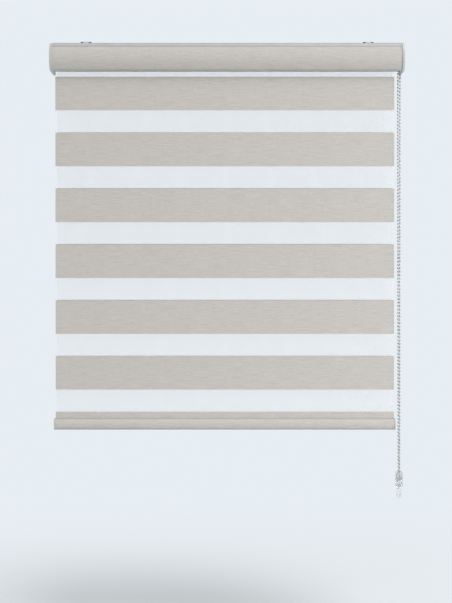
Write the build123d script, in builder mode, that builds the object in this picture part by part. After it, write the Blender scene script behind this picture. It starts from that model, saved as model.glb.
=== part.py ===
from build123d import *
import math
import os

os.makedirs("parts", exist_ok=True)

# A day and night blind: two layers of striped cloth, one fixed to the cassette and one wound
# on a roller, joined at the bottom round a loose roller inside the bottom rail.
# The front faces -Y, +X is to the right and +Z is up. The origin is the middle of the four
# ceiling holes, on the top face of the two brackets. All sizes are in millimetres.

# Small turned pieces are drawn with this many sides
small_sides = 8
medium_sides = 16
large_sides = 20

# Cassette
overall_width = 790
end_cap_thickness = 5
bracket_gap = 4.5
cassette_height = 61
cassette_back = 30
fascia_front = -34
fascia_bulge = 11
cassette_wall = 1.4
lip_skin = 0.8
top_lip = 7.2
bottom_lip = 2.3
groove_depth = 1.3
insert_thickness = 1.2
insert_clearance = 0.1
cap_margin = 0.6
cap_corner = 2.5
cap_edge = 0.7
back_return = 9
back_rise = 8.5

# Screw ports inside the cassette, and their screws
port_radius = 3.2
port_bite = 0.3
port_bore = 1.3
port_slot = 1.2
front_port_y = -17
screw_radius = 1.25
screw_length = 14
screw_head_radius = 2.9
screw_head_height = 1.5
screw_clearance = 0.2

# Rails on top of the cassette, and the brackets that hold them
rail_gauge = 30
rail_web = 1.2
rail_height = 2.2
rail_flange = 2.0
rail_flange_thickness = 0.8
bracket_inset = 80
bracket_width = 24
bracket_sheet = 1.2
bracket_hole_radius = 2.5
bracket_hole_spacing = 16
bracket_back = 24
hook_width = 12
hook_sheet = 0.9
hook_clearance = 0.2
clip_sheet = 0.75
clip_weld_length = 6
clip_tab_reach = 33

# Cloth
cloth_left_inset = 10.9
cloth_right_inset = 21.1
cloth_thickness = 0.5
sheer_thickness = 0.3
opaque_height = 75
sheer_height = 50
first_opaque_top = -77
opaque_bands = 6
sheer_windows = 8
sheer_thread = 2
sheer_margin = 1.5
front_cloth_y = -12.95

# Clamp that holds the front layer's top edge
clamp_clearance = 0.2
clamp_rib = 1.2
clamp_height = 5.7
clamp_flange = 0.8
clamp_strip_thickness = 1.3
clamp_strip_clearance = 0.1
clamp_catch = 1.4

# Roller
roller_y = -2
tube_radius = 16
tube_wall = 1.2
tube_overlap = 3
tube_key_height = 2.2
tube_key_width = 1.6
tube_keys = 3
plug_clearance = 0.15
plug_length = 24
plug_flange = 1.5
running_clearance = 0.1
idle_pin_radius = 4
idle_pin_length = 26
idle_boss_radius = 8
idle_boss_height = 2
roll_radius = 18.2
roll_clearance = 0.1
leaving_clearance = 0.3

# Chain, sprocket and clutch
bead_radius = 2.25
bead_pitch = 7.7
bead_sides = 5
link_radius = 0.75
sprocket_teeth = 12
pulley_teeth = 6
strand_steps = 122
chain_inset = 4
wheel_width = 7.2
wheel_rim = 1.5
pocket_clearance = 0.15
pocket_width = 5
link_groove_width = 1.9
link_groove_clearance = 0.25
sprocket_neck_radius = 12
sprocket_hub_length = 34
core_radius = 7.5
core_collar_radius = 9.5
core_collar_width = 2.7
core_collar_gap = 0.3
core_spigot_radius = 6
core_spigot_length = 3.5
spring_room_radius = 10.6
spring_room_wall = 3
brake_spring_thickness = 2.6
guard_clearance = 0.8
guard_wall = 1.2
guard_side_wall = 1.2
guard_skirt = 21
chain_side_clearance = 0.3
notch_clearance = 0.75
connector_first_bead = 4
connector_radius = 2.6

# Bottom rail
rail_top = -842
bottom_rail_height = 24.6
bottom_rail_depth = 26
bottom_rail_bulge = 3
bottom_rail_y = 1
bottom_rail_wall = 1.3
cover_thickness = 0.8
cover_clearance = 0.1
cover_top_margin = 0.8
cover_bottom_margin = 2.4
rail_overhang = 0.6
rail_cap_thickness = 3
rail_cap_margin = 0.4
rail_cap_skirt = 4
rail_cap_fit = 0.15
loop_roller_radius = 6.5
loop_roller_wall = 1.2
loop_roller_height = 10.5
loop_roller_inset = 2.1
loop_clearance = 0.15
loop_plug_length = 12
loop_pin_radius = 2
loop_pin_reach = 2

# Chain tensioner
tensioner_width = 13.4
tensioner_wall = 1.6
tensioner_side_clearance = 0.6
tensioner_mouth = 12.4
tensioner_foot = 20
pulley_rim = 0.6
axle_radius = 1.5
tab_room_width = 6.8
tab_room_depth = 10.8
tab_room_height = 6
tab_floor = 1.7
tab_head = 1.2
tab_stem_radius = 1.8
tab_slide_clearance = 0.3
tab_gap = 4.4
tab_width = 9.6
tab_height = 21.6
tab_thickness = 7
tab_corner = 2.5
eyelet_radius = 2.3
eyelet_height = 7.5
spring_wire = 0.6
spring_turns = 3
spring_steps = 8
spring_clearance = 0.1

# Values worked out from the sizes above
cassette_top = -bracket_gap
cassette_bottom = cassette_top - cassette_height
cassette_middle = (cassette_top + cassette_bottom) / 2
back_bottom = cassette_bottom + back_rise
profile_left = end_cap_thickness - overall_width / 2
profile_right = overall_width / 2 - end_cap_thickness
profile_length = profile_right - profile_left
bracket_spacing = overall_width - 2 * bracket_inset
fascia_radius = (cassette_height**2 / 4 + fascia_bulge**2) / (2 * fascia_bulge)
fascia_centre = (fascia_front + fascia_radius, cassette_middle)
wall_arc = fascia_radius - lip_skin - insert_thickness - 2 * insert_clearance
inner_arc = wall_arc - cassette_wall
cloth_left = cloth_left_inset - overall_width / 2
cloth_right = overall_width / 2 - cloth_right_inset
cloth_width = cloth_right - cloth_left
cloth_offset = (cloth_left + cloth_right) / 2
clamp_face = front_cloth_y - cloth_thickness / 2 - clamp_clearance
clamp_top = cassette_bottom + cassette_wall + clamp_height
strip_front = front_cloth_y + cloth_thickness / 2 + clamp_strip_clearance
strip_back = strip_front + clamp_strip_thickness
port_inset = port_radius - port_bite
back_port_y = cassette_back - cassette_wall - port_inset
top_port_z = cassette_top - cassette_wall - port_inset
bottom_port_z = back_bottom + cassette_wall + port_inset
ports = [(back_port_y, top_port_z), (back_port_y, bottom_port_z), (front_port_y, top_port_z)]
roller_z = cassette_middle
tube_left = cloth_left - tube_overlap / 2
tube_right = cloth_right + tube_overlap
plug_radius = tube_radius - tube_wall - plug_clearance
sprocket_radius = bead_pitch / (2 * math.sin(math.pi / sprocket_teeth))
pulley_radius = bead_pitch / (2 * math.sin(math.pi / pulley_teeth))
strand_length = strand_steps * bead_pitch
pulley_drop = math.sqrt(strand_length**2 - (sprocket_radius - pulley_radius) ** 2)
pulley_z = roller_z - pulley_drop
chain_x = profile_right - chain_inset
wheel_left = chain_x - wheel_width / 2
wheel_right = chain_x + wheel_width / 2
rail_bottom = rail_top - bottom_rail_height
rail_middle = (rail_top + rail_bottom) / 2
rail_radius = (bottom_rail_height**2 / 4 + bottom_rail_bulge**2) / (2 * bottom_rail_bulge)
rail_half_depth = bottom_rail_depth / 2
rail_left = cloth_left - rail_overhang
rail_right = cloth_right + rail_overhang
loop_z = rail_bottom + loop_roller_height
loop_inner = loop_roller_radius + loop_clearance
loop_outer = loop_inner + cloth_thickness
rear_cloth_y = roller_y + roll_radius + leaving_clearance + cloth_thickness / 2


def across(x, y=0, z=0):
    return Plane(origin=(x, y, z), x_dir=(0, 1, 0), z_dir=(1, 0, 0))


def rectangle_between(front, back, bottom, top, mode=Mode.ADD):
    with Locations(((front + back) / 2, (bottom + top) / 2)):
        Rectangle(back - front, top - bottom, mode=mode)


def flats(radius, count, mode=Mode.ADD):
    RegularPolygon(radius, count, major_radius=False, mode=mode)


def save(part, name):
    part.label = name
    export_step(part, f"parts/{name}.step")


# Cassette profile: one aluminium extrusion with a bowed front wall, two lips that hold the
# insert, a back that ends higher than the front, three screw ports, two rails for the brackets
# and the clamp for the front layer.
with BuildPart() as cassette_profile:
    with BuildSketch(across(profile_left)):
        with Locations(fascia_centre):
            Circle(wall_arc)
        rectangle_between(fascia_front, cassette_back, cassette_bottom, cassette_top, Mode.INTERSECT)
        rectangle_between(clamp_face, cassette_back, cassette_bottom, back_bottom, Mode.SUBTRACT)
    extrude(amount=profile_length)
    with BuildSketch(across(profile_left)):
        with Locations(fascia_centre):
            Circle(inner_arc)
        rectangle_between(
            fascia_front,
            cassette_back - cassette_wall,
            cassette_bottom + cassette_wall,
            cassette_top - cassette_wall,
            Mode.INTERSECT,
        )
        return_front = cassette_back - back_return
        rectangle_between(return_front, cassette_back, cassette_bottom, back_bottom + cassette_wall, Mode.SUBTRACT)
        rectangle_between(clamp_face, return_front, cassette_bottom, cassette_middle)
    extrude(amount=profile_length, mode=Mode.SUBTRACT)
    with BuildSketch(across(profile_left)):
        with Locations(fascia_centre):
            Circle(fascia_radius)
            Circle(wall_arc, mode=Mode.SUBTRACT)
        rectangle_between(fascia_front, roller_y, cassette_bottom, cassette_top, Mode.INTERSECT)
        rectangle_between(
            fascia_front, roller_y, cassette_bottom + bottom_lip, cassette_top - top_lip, Mode.SUBTRACT
        )
    extrude(amount=profile_length)
    with BuildSketch(across(profile_left)):
        with Locations(fascia_centre):
            Circle(fascia_radius - lip_skin)
            Circle(wall_arc, mode=Mode.SUBTRACT)
        rectangle_between(
            fascia_front,
            roller_y,
            cassette_bottom + bottom_lip - groove_depth,
            cassette_top - top_lip + groove_depth,
            Mode.INTERSECT,
        )
    extrude(amount=profile_length, mode=Mode.SUBTRACT)
    with BuildSketch(across(profile_left)):
        with Locations(*ports):
            flats(port_radius, small_sides)
        for side in (-1, 1):
            web = sorted((side * rail_gauge / 2, side * (rail_gauge / 2 - rail_web)))
            flange = sorted((side * (rail_gauge / 2 + rail_flange), side * (rail_gauge / 2 - rail_web)))
            rail_crest = cassette_top + rail_height
            rectangle_between(*web, cassette_top, rail_crest)
            rectangle_between(*flange, rail_crest - rail_flange_thickness, rail_crest)
        rectangle_between(clamp_face - clamp_rib, clamp_face, cassette_bottom, clamp_top)
        catch_back = strip_back + clamp_strip_clearance + clamp_flange
        rectangle_between(clamp_face - clamp_rib, catch_back, clamp_top - clamp_flange, clamp_top)
        rectangle_between(catch_back - clamp_flange, catch_back, clamp_top - clamp_flange - clamp_catch, clamp_top)
    extrude(amount=profile_length)
    with BuildSketch(across(profile_left)):
        with Locations(*ports):
            flats(port_bore, small_sides)
        for port_y, port_z in ports:
            rectangle_between(
                port_y - port_slot / 2,
                port_y + port_slot / 2,
                min(port_z, port_z + math.copysign(port_radius + port_bite, cassette_middle - port_z)),
                max(port_z, port_z + math.copysign(port_radius + port_bite, cassette_middle - port_z)),
            )
    extrude(amount=profile_length, mode=Mode.SUBTRACT)
    # The front chain strand passes down through a notch at the right end.
    with BuildSketch(across(profile_right)):
        notch_front = roller_y - sprocket_radius - bead_radius - notch_clearance
        rectangle_between(notch_front, catch_back, cassette_bottom, clamp_top)
    extrude(amount=-(profile_right - wheel_left + guard_side_wall + notch_clearance), mode=Mode.SUBTRACT)

save(cassette_profile.part, "cassette_profile")

# Fascia insert: a strip wrapped in the blind's cloth, slid into the two grooves.
with BuildPart() as fascia_insert:
    with BuildSketch(across(profile_left)):
        with Locations(fascia_centre):
            Circle(wall_arc + insert_clearance + insert_thickness)
            Circle(wall_arc + insert_clearance, mode=Mode.SUBTRACT)
        rectangle_between(
            fascia_front,
            roller_y,
            cassette_bottom + bottom_lip - groove_depth + insert_clearance,
            cassette_top - top_lip + groove_depth - insert_clearance,
            Mode.INTERSECT,
        )
    extrude(amount=profile_length)

save(fascia_insert.part, "fascia_insert")

# Clamp strip: a plastic strip that traps the front layer's top edge against the clamp rib.
with BuildPart() as cloth_clamp_strip:
    with BuildSketch(across(cloth_left)):
        strip_top = clamp_top - clamp_flange - clamp_strip_clearance
        rectangle_between(strip_front, strip_back, cassette_bottom + cassette_wall / 2, strip_top)
    extrude(amount=cloth_width)

save(cloth_clamp_strip.part, "cloth_clamp_strip")


# End caps: moulded plates screwed to the ends of the cassette.
def end_cap(inner_x, outward):
    with BuildPart() as cap:
        with BuildSketch(across(inner_x)):
            with Locations(fascia_centre):
                Circle(fascia_radius + cap_margin)
            rectangle_between(
                fascia_front - cap_margin,
                cassette_back + cap_margin,
                cassette_bottom - cap_margin,
                cassette_top + cap_margin,
                Mode.INTERSECT,
            )
        extrude(amount=outward * end_cap_thickness)
        corners = cap.edges().filter_by(Axis.X).group_by(Axis.Y)
        fillet(corners[0], radius=cap_corner)
        chamfer(cap.edges().filter_by(Axis.X).group_by(Axis.Y)[-1], length=cap_corner)
        outer_face = cap.faces().filter_by(Axis.X).sort_by(Axis.X)[-1 if outward > 0 else 0]
        chamfer(outer_face.edges(), length=cap_edge)
        with BuildSketch(across(inner_x)):
            with Locations(*ports):
                flats(screw_radius + screw_clearance, small_sides)
        extrude(amount=outward * end_cap_thickness, mode=Mode.SUBTRACT)
        with BuildSketch(across(inner_x + outward * end_cap_thickness)):
            with Locations(*ports):
                flats(screw_head_radius + screw_clearance, small_sides)
        extrude(amount=-outward * screw_head_height, mode=Mode.SUBTRACT)
        if outward < 0:
            with BuildSketch(across(inner_x, roller_y, roller_z)):
                flats(idle_boss_radius, medium_sides)
            extrude(amount=idle_boss_height)
            with BuildSketch(across(inner_x + idle_boss_height, roller_y, roller_z)):
                flats(idle_pin_radius, medium_sides)
            extrude(amount=-idle_boss_height - end_cap_thickness / 2, mode=Mode.SUBTRACT)
        else:
            with BuildSketch(across(inner_x, roller_y, roller_z)):
                flats(core_spigot_radius, medium_sides)
            extrude(amount=core_spigot_length, mode=Mode.SUBTRACT)
    return cap.part


save(end_cap(profile_left, -1), "end_cap_left")
save(end_cap(profile_right, 1), "end_cap_right")

# Six pan-head screws, three in each cap. Each one lies along X with its head in the cap.
with BuildPart() as end_cap_screws:
    for end_x, outward in ((profile_left, -1), (profile_right, 1)):
        outer_x = end_x + outward * end_cap_thickness
        with BuildSketch(across(outer_x)):
            with Locations(*ports):
                flats(screw_head_radius, small_sides)
        extrude(amount=-outward * screw_head_height)
        with BuildSketch(across(outer_x)):
            with Locations(*ports):
                flats(screw_radius, small_sides)
        extrude(amount=-outward * screw_length)

save(end_cap_screws.part, "end_cap_screws")


# Brackets: a folded steel plate whose front toe hooks under the front rail, and a spring clip
# that snaps under the rear rail and is let go by its tab.
hook_inner = rail_gauge / 2 + rail_flange + hook_clearance
toe_top = cassette_top + rail_height - rail_flange_thickness - hook_clearance
toe_reach = rail_gauge / 2 + hook_clearance


def bracket(centre_x):
    with BuildPart() as plate:
        with BuildSketch(across(centre_x)):
            rectangle_between(-hook_inner - bracket_sheet, bracket_back, -bracket_sheet, 0)
        extrude(amount=bracket_width / 2, both=True)
        with BuildSketch(across(centre_x)):
            rectangle_between(-hook_inner - bracket_sheet, -hook_inner, toe_top - hook_sheet, 0)
            rectangle_between(-hook_inner - bracket_sheet, -toe_reach, toe_top - hook_sheet, toe_top)
        extrude(amount=hook_width / 2, both=True)
        with Locations((centre_x, -bracket_hole_spacing / 2, 0), (centre_x, bracket_hole_spacing / 2, 0)):
            Hole(bracket_hole_radius, depth=bracket_sheet)
    return plate.part


def bracket_clip(centre_x):
    with BuildPart() as clip:
        with BuildSketch(across(centre_x)):
            rectangle_between(
                hook_inner - clip_weld_length, hook_inner + clip_sheet, -bracket_sheet - clip_sheet, -bracket_sheet
            )
            rectangle_between(hook_inner, hook_inner + clip_sheet, toe_top - clip_sheet, -bracket_sheet)
            rectangle_between(toe_reach, clip_tab_reach, toe_top - clip_sheet, toe_top)
        extrude(amount=hook_width / 2, both=True)
    return clip.part


for side, centre_x in (("left", -bracket_spacing / 2), ("right", bracket_spacing / 2)):
    save(bracket(centre_x), f"bracket_{side}")
    save(bracket_clip(centre_x), f"bracket_clip_{side}")

# Roller tube: aluminium, with three keys inside that turn the end plugs.
with BuildPart() as roller_tube:
    with BuildSketch(across(tube_left, roller_y, roller_z)):
        Circle(tube_radius)
        Circle(tube_radius - tube_wall, mode=Mode.SUBTRACT)
        with PolarLocations(tube_radius - tube_wall - tube_key_height / 2 + tube_wall / 4, tube_keys):
            Rectangle(tube_key_height + tube_wall / 2, tube_key_width)
    extrude(amount=tube_right - tube_left)

save(roller_tube.part, "roller_tube")


def key_slots(plane, length):
    with BuildSketch(plane) as slots:
        with PolarLocations(tube_radius - tube_key_height / 2, tube_keys):
            Rectangle(tube_key_height + 2 * tube_wall, tube_key_width + 2 * plug_clearance)
    extrude(slots.sketch, amount=length, mode=Mode.SUBTRACT)


# Idle end: a plug in the left end of the tube turns on a pin fixed in the left cap.
with BuildPart() as idle_end_plug:
    with BuildSketch(across(tube_left, roller_y, roller_z)):
        RegularPolygon(plug_radius, large_sides)
    extrude(amount=plug_length)
    key_slots(across(tube_left, roller_y, roller_z), plug_length)
    with BuildSketch(across(tube_left, roller_y, roller_z)):
        RegularPolygon(tube_radius, large_sides)
    extrude(amount=-plug_flange)
    with BuildSketch(across(tube_left - plug_flange, roller_y, roller_z)):
        Circle(idle_pin_radius + running_clearance)
    extrude(amount=plug_flange + plug_length, mode=Mode.SUBTRACT)

save(idle_end_plug.part, "idle_end_plug")

with BuildPart() as idle_pin:
    with BuildSketch(across(profile_left - end_cap_thickness / 2, roller_y, roller_z)):
        RegularPolygon(idle_pin_radius, medium_sides)
    extrude(amount=idle_pin_length)
    chamfer(idle_pin.faces().sort_by(Axis.X)[-1].edges(), length=cap_edge)

save(idle_pin.part, "idle_pin")

# The turns of the wound cloth, as they lie round the tube when the blind hangs as pictured.
with BuildPart() as cloth_roll:
    with BuildSketch(across(cloth_left, roller_y, roller_z)):
        Circle(roll_radius)
        Circle(tube_radius + roll_clearance, mode=Mode.SUBTRACT)
    extrude(amount=cloth_width)

save(cloth_roll.part, "cloth_roll")


# A wheel for the bead chain: the beads sit in pockets across the rim and the links between
# them in a narrow groove.
def chain_wheel(centre, teeth, pitch_radius, rim):
    chord_depth = pitch_radius * math.cos(math.pi / teeth) - link_radius - link_groove_clearance
    with BuildSketch(across(wheel_left, *centre)) as disc:
        RegularPolygon(pitch_radius + rim, 2 * teeth)
    extrude(disc.sketch, amount=wheel_width)
    with BuildSketch(across(chain_x - link_groove_width / 2, *centre)) as groove:
        Circle(pitch_radius + rim)
        flats(chord_depth, teeth, Mode.SUBTRACT)
    extrude(groove.sketch, amount=link_groove_width, mode=Mode.SUBTRACT)
    with BuildSketch(across(chain_x - pocket_width / 2, *centre)) as pockets:
        with PolarLocations(pitch_radius, teeth):
            RegularPolygon(bead_radius + pocket_clearance, 8, major_radius=False, rotation=22.5)
        with PolarLocations(pitch_radius + bead_radius, teeth):
            Rectangle(2 * bead_radius, 2 * (bead_radius + pocket_clearance))
    extrude(pockets.sketch, amount=pocket_width, mode=Mode.SUBTRACT)


# Drive sprocket: the chain wheel and, in one moulding, the hub that fits in the tube.
hub_left = tube_right - sprocket_hub_length
flange_left = tube_right + plug_clearance
neck_left = flange_left + plug_flange
with BuildPart() as drive_sprocket:
    chain_wheel((roller_y, roller_z), sprocket_teeth, sprocket_radius, wheel_rim)
    with BuildSketch(across(hub_left, roller_y, roller_z)):
        RegularPolygon(plug_radius, large_sides)
    extrude(amount=neck_left - hub_left)
    key_slots(across(hub_left, roller_y, roller_z), sprocket_hub_length)
    with BuildSketch(across(flange_left, roller_y, roller_z)):
        RegularPolygon(tube_radius, large_sides)
    extrude(amount=plug_flange)
    with BuildSketch(across(neck_left, roller_y, roller_z)):
        RegularPolygon(sprocket_neck_radius, medium_sides)
    extrude(amount=wheel_left - neck_left)
    with BuildSketch(across(hub_left, roller_y, roller_z)):
        Circle(core_radius + running_clearance)
    extrude(amount=wheel_right - hub_left, mode=Mode.SUBTRACT)
    with BuildSketch(across(hub_left + spring_room_wall, roller_y, roller_z)):
        flats(spring_room_radius, medium_sides)
    extrude(amount=tube_right - hub_left - 2 * spring_room_wall, mode=Mode.SUBTRACT)

save(drive_sprocket.part, "drive_sprocket")

# Clutch core: the fixed shaft that the sprocket turns on, with a snap collar at its inner end
# and a spigot in the right cap.
with BuildPart() as clutch_core:
    with BuildSketch(across(profile_right, roller_y, roller_z)):
        RegularPolygon(core_radius, large_sides)
    extrude(amount=hub_left - core_collar_gap - profile_right)
    with BuildSketch(across(hub_left - core_collar_gap, roller_y, roller_z)):
        RegularPolygon(core_collar_radius, medium_sides)
    extrude(amount=-core_collar_width)
    chamfer(clutch_core.faces().sort_by(Axis.X)[0].edges(), length=(core_collar_radius - core_radius) / 2)
    with BuildSketch(across(profile_right, roller_y, roller_z)):
        flats(core_spigot_radius, medium_sides)
    extrude(amount=core_spigot_length)

save(clutch_core.part, "clutch_core")

# Brake spring: the wrap spring that grips the core, drawn as the closed sleeve of its coils.
with BuildPart() as brake_spring:
    with BuildSketch(across(hub_left + 2 * spring_room_wall, roller_y, roller_z)):
        RegularPolygon(core_radius + running_clearance + brake_spring_thickness, medium_sides)
        flats(core_radius + running_clearance, medium_sides, Mode.SUBTRACT)
    extrude(amount=sprocket_hub_length - 4 * spring_room_wall)

save(brake_spring.part, "brake_spring")

# Chain guard: an arch over the sprocket with two skirts and a side wall that keeps the chain
# in its pockets.
guard_inner = sprocket_radius + bead_radius + guard_clearance
guard_outer = guard_inner + guard_wall
guard_left = wheel_left - chain_side_clearance - guard_side_wall
with BuildPart() as chain_guard:
    with BuildSketch(across(guard_left, roller_y, roller_z)):
        RegularPolygon(guard_outer, large_sides)
        rectangle_between(-guard_outer, guard_outer, -guard_outer, 0, Mode.SUBTRACT)
        rectangle_between(-guard_outer, guard_outer, -guard_skirt, 0)
    extrude(amount=profile_right - guard_left)
    with BuildSketch(across(guard_left + guard_side_wall, roller_y, roller_z)):
        RegularPolygon(guard_inner, large_sides)
        rectangle_between(-guard_inner, guard_inner, -guard_outer, 0, Mode.SUBTRACT)
        rectangle_between(-guard_inner, guard_inner, -guard_skirt, 0)
    extrude(amount=profile_right - guard_left, mode=Mode.SUBTRACT)
    with BuildSketch(across(guard_left, roller_y, roller_z)):
        flats(sprocket_neck_radius + guard_clearance, medium_sides)
        neck_gap = sprocket_neck_radius + guard_clearance
        rectangle_between(-neck_gap, neck_gap, -guard_skirt, 0)
    extrude(amount=guard_side_wall, mode=Mode.SUBTRACT)

save(chain_guard.part, "chain_guard")

# Bead chain: an endless run of beads on a cord, over the sprocket, down the rear strand,
# round the pulley and up the front strand.
sprocket_angles = [math.pi * (1 - step / (sprocket_teeth / 2)) for step in range(sprocket_teeth // 2 + 1)]
pulley_angles = [-math.pi * step / (pulley_teeth / 2) for step in range(pulley_teeth // 2 + 1)]


def on_wheel(radius, centre_z, angle):
    return Vector(chain_x, roller_y + radius * math.cos(angle), centre_z + radius * math.sin(angle))


def between_points(start, end, steps):
    return [start + (end - start) * (step / steps) for step in range(1, steps)]


over_sprocket = [on_wheel(sprocket_radius, roller_z, angle) for angle in sprocket_angles]
round_pulley = [on_wheel(pulley_radius, pulley_z, angle) for angle in pulley_angles]
rear_strand = between_points(over_sprocket[-1], round_pulley[0], strand_steps)
front_strand = between_points(over_sprocket[0], round_pulley[-1], strand_steps)
bead_centres = over_sprocket + rear_strand + round_pulley + front_strand[::-1]

# The connector is a clip over two of the beads, high on the front strand.
connector_beads = [len(bead_centres) - connector_first_bead - 2, len(bead_centres) - connector_first_bead - 1]

with BuildPart() as bead:
    with BuildSketch() as bead_waist:
        RegularPolygon(bead_radius, bead_sides)
    loft([Vertex(0, 0, -bead_radius), bead_waist.face(), Vertex(0, 0, bead_radius)], ruled=True)

chain_beads = []
for index, centre in enumerate(bead_centres):
    before = bead_centres[index - 1]
    after = bead_centres[(index + 1) % len(bead_centres)]
    along = Plane(origin=centre, x_dir=(1, 0, 0), z_dir=after - before)
    if index not in connector_beads:
        chain_beads.append(along.location * bead.part.solid())

save(Compound(chain_beads), "chain_beads")

# The cord that the beads are moulded on: straight between the beads, with a three-sided section.
cord_corners = over_sprocket + round_pulley
with BuildPart() as chain_cord:
    with BuildLine():
        cord_path = Polyline(*cord_corners, close=True)
    with BuildSketch(Plane(origin=cord_path @ 0, x_dir=(1, 0, 0), z_dir=cord_path % 0)):
        RegularPolygon(link_radius, 3)
    sweep(transition=Transition.RIGHT)

save(chain_cord.part, "chain_cord")

connector_start = bead_centres[connector_beads[0]]
connector_end = bead_centres[connector_beads[1]]
connector_length = bead_pitch + 2 * bead_radius
with BuildPart() as chain_connector:
    connector_plane = Plane(
        origin=(connector_start + connector_end) / 2, x_dir=(1, 0, 0), z_dir=connector_end - connector_start
    )
    with BuildSketch(connector_plane):
        flats(connector_radius, 8)
    extrude(amount=connector_length / 2, both=True)

save(chain_connector.part, "chain_connector")


# Cloth layers. Each is one piece of cloth with opaque bands and sheer bands between them,
# which are thinner and open between their threads.
def cloth_layer(top_y, top_z, low_y, low_z):
    def centre_y(z):
        return low_y + (top_y - low_y) * (z - low_z) / (top_z - low_z)

    def strip(upper, lower, thickness):
        half = thickness / 2
        corners = [(centre_y(upper) - half, upper), (centre_y(upper) + half, upper)]
        corners += [(centre_y(lower) + half, lower), (centre_y(lower) - half, lower)]
        Polygon(*corners, align=None)

    band_tops = [first_opaque_top - index * (opaque_height + sheer_height) for index in range(opaque_bands)]
    last_band_top = first_opaque_top - opaque_bands * (opaque_height + sheer_height)
    window_width = cloth_width / sheer_windows - sheer_thread
    window_height = sheer_height - 2 * sheer_margin
    reach = 2 * abs(top_y - low_y) + 4 * cloth_thickness
    with BuildPart() as layer:
        with BuildSketch(across(cloth_left)):
            strip(top_z, low_z, sheer_thickness)
            strip(top_z, cassette_bottom, cloth_thickness)
            for band_top in band_tops:
                strip(band_top, band_top - opaque_height, cloth_thickness)
            strip(last_band_top, low_z, cloth_thickness)
        extrude(amount=cloth_width)
        for band_top in band_tops:
            window_z = band_top - opaque_height - sheer_height / 2
            with BuildSketch(Plane.XZ.offset(-centre_y(window_z))):
                with Locations((cloth_offset, window_z)):
                    with GridLocations(cloth_width / sheer_windows, 0, sheer_windows, 1):
                        Rectangle(window_width, window_height)
            extrude(amount=reach, both=True, mode=Mode.SUBTRACT)
    return layer.part


front_loop_y = bottom_rail_y - (loop_inner + loop_outer) / 2
rear_loop_y = bottom_rail_y + (loop_inner + loop_outer) / 2
front_cloth_top = clamp_top - clamp_flange - clamp_strip_clearance
save(cloth_layer(front_cloth_y, front_cloth_top, front_loop_y, loop_z), "cloth_front_layer")
save(cloth_layer(rear_cloth_y, roller_z, rear_loop_y, loop_z), "cloth_rear_layer")

# The same cloth where it turns round the loose roller at the bottom.
with BuildPart() as cloth_bottom_loop:
    with BuildSketch(across(cloth_left, bottom_rail_y, loop_z)):
        Circle(loop_outer)
        Circle(loop_inner, mode=Mode.SUBTRACT)
        rectangle_between(-loop_outer, loop_outer, -loop_outer, 0, Mode.INTERSECT)
    extrude(amount=cloth_width)

save(cloth_bottom_loop.part, "cloth_bottom_loop")


# Bottom rail: an aluminium trough with bowed sides, open at the top for the two layers.
def rail_outline(inset, bottom, top):
    centre_offset = rail_radius - rail_half_depth
    with Locations((bottom_rail_y + centre_offset, rail_middle)):
        Circle(rail_radius - inset)
    with Locations((bottom_rail_y - centre_offset, rail_middle)):
        Circle(rail_radius - inset, mode=Mode.INTERSECT)
    rectangle_between(
        bottom_rail_y - bottom_rail_depth, bottom_rail_y + bottom_rail_depth, bottom, top, Mode.INTERSECT
    )


cover_slot = cover_thickness + 2 * cover_clearance
cavity_inset = cover_slot + bottom_rail_wall
cavity_floor = rail_bottom + bottom_rail_wall
cover_top = rail_top - cover_top_margin
cover_bottom = rail_bottom + cover_bottom_margin
with BuildPart() as bottom_rail:
    with BuildSketch(across(rail_left)):
        rail_outline(0, rail_bottom, rail_top)
    extrude(amount=rail_right - rail_left)
    with BuildSketch(across(rail_left)):
        rail_outline(cavity_inset, cavity_floor, rail_top)
    extrude(amount=rail_right - rail_left, mode=Mode.SUBTRACT)
    with BuildSketch(across(rail_left)):
        with Locations((bottom_rail_y - rail_half_depth + rail_radius, rail_middle)):
            Circle(rail_radius)
            Circle(rail_radius - cover_slot, mode=Mode.SUBTRACT)
        rectangle_between(
            bottom_rail_y - bottom_rail_depth, bottom_rail_y, cover_bottom, cover_top, Mode.INTERSECT
        )
    extrude(amount=rail_right - rail_left, mode=Mode.SUBTRACT)

save(bottom_rail.part, "bottom_rail")

# Cover: the strip wrapped in the blind's cloth on the front of the bottom rail.
with BuildPart() as bottom_rail_cover:
    with BuildSketch(across(rail_left)):
        with Locations((bottom_rail_y - rail_half_depth + rail_radius, rail_middle)):
            Circle(rail_radius - cover_clearance)
            Circle(rail_radius - cover_clearance - cover_thickness, mode=Mode.SUBTRACT)
        rectangle_between(
            bottom_rail_y - bottom_rail_depth,
            bottom_rail_y,
            cover_bottom + cover_clearance,
            cover_top - cover_clearance,
            Mode.INTERSECT,
        )
    extrude(amount=rail_right - rail_left)

save(bottom_rail_cover.part, "bottom_rail_cover")

# Loose roller: the cloth runs round it, and its two plugs turn in the rail's end caps.
loop_tube_left = cloth_left + loop_roller_inset
loop_tube_right = cloth_right - loop_roller_inset
with BuildPart() as loop_roller_tube:
    with BuildSketch(across(loop_tube_left, bottom_rail_y, loop_z)):
        Circle(loop_roller_radius)
        Circle(loop_roller_radius - loop_roller_wall, mode=Mode.SUBTRACT)
    extrude(amount=loop_tube_right - loop_tube_left)

save(loop_roller_tube.part, "loop_roller_tube")

loop_plug_radius = loop_roller_radius - loop_roller_wall - running_clearance
with BuildPart() as loop_roller_plugs:
    for end_x, cap_x, outward in ((loop_tube_left, rail_left, -1), (loop_tube_right, rail_right, 1)):
        with BuildSketch(across(end_x, bottom_rail_y, loop_z)):
            RegularPolygon(loop_plug_radius, medium_sides)
        extrude(amount=-outward * loop_plug_length)
        with BuildSketch(across(end_x, bottom_rail_y, loop_z)):
            RegularPolygon(loop_pin_radius, small_sides)
        extrude(amount=cap_x + outward * loop_pin_reach - end_x)

save(loop_roller_plugs.part, "loop_roller_plugs")


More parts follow.
